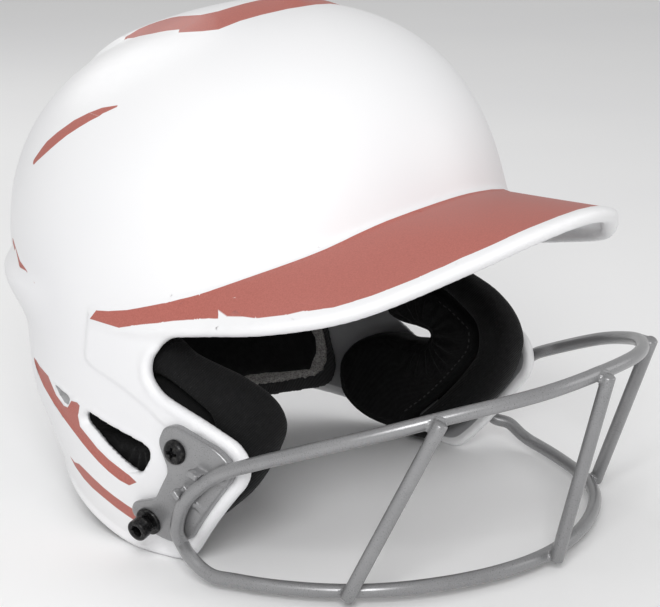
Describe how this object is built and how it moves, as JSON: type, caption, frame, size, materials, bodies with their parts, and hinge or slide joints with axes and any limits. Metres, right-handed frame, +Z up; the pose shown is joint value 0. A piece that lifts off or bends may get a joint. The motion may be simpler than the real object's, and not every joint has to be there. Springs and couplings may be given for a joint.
{
  "type": "batting helmet with face mask",
  "caption": "Hard shell batting helmet with a curved brim, ear flaps, fabric padding and a wire face mask bolted on at the sides.",
  "frame": {"origin": "centre of the bounding box on the surface the helmet stands on, pitched back on its ear flaps and the foot of the mask", "axes": "+Z up, -Y forwards along the brim, +X towards the wearer's left"},
  "size_m": [0.2394, 0.3199, 0.229],
  "materials": {
    "shell_white": "satin white moulded plastic with dusty rose paint zones",
    "mask_grey": "smooth mid grey coating on steel wire and brackets",
    "hardware_black": "black oxide fasteners",
    "pad_fabric": "black knitted lining over foam",
    "pad_foam": "grey open foam"
  },
  "bodies": {
    "root": {"outer_shell": "shell_white", "crown_pad": "pad_fabric", "forehead_pad": "pad_fabric", "rear_pad_foam": "pad_foam", "rear_pad": "pad_fabric", "side_pad_right": "pad_fabric", "ear_flap_liner_right": "pad_fabric", "ear_cushion_right": "pad_fabric", "mask_bracket_right": "mask_grey", "bracket_screw_right": "hardware_black", "strap_stud_right": "hardware_black", "stud_washer_right": "hardware_black", "screw_tee_nut_right": "hardware_black", "stud_tee_nut_right": "hardware_black", "side_pad_left": "pad_fabric", "ear_flap_liner_left": "pad_fabric", "ear_cushion_left": "pad_fabric", "mask_bracket_left": "mask_grey", "bracket_screw_left": "hardware_black", "strap_stud_left": "hardware_black", "stud_washer_left": "hardware_black", "screw_tee_nut_left": "hardware_black", "stud_tee_nut_left": "hardware_black", "mask_loop_wire": "mask_grey", "mask_bar_right": "mask_grey", "mask_bar_centre": "mask_grey", "mask_bar_left": "mask_grey"}
  },
  "joints": []
}
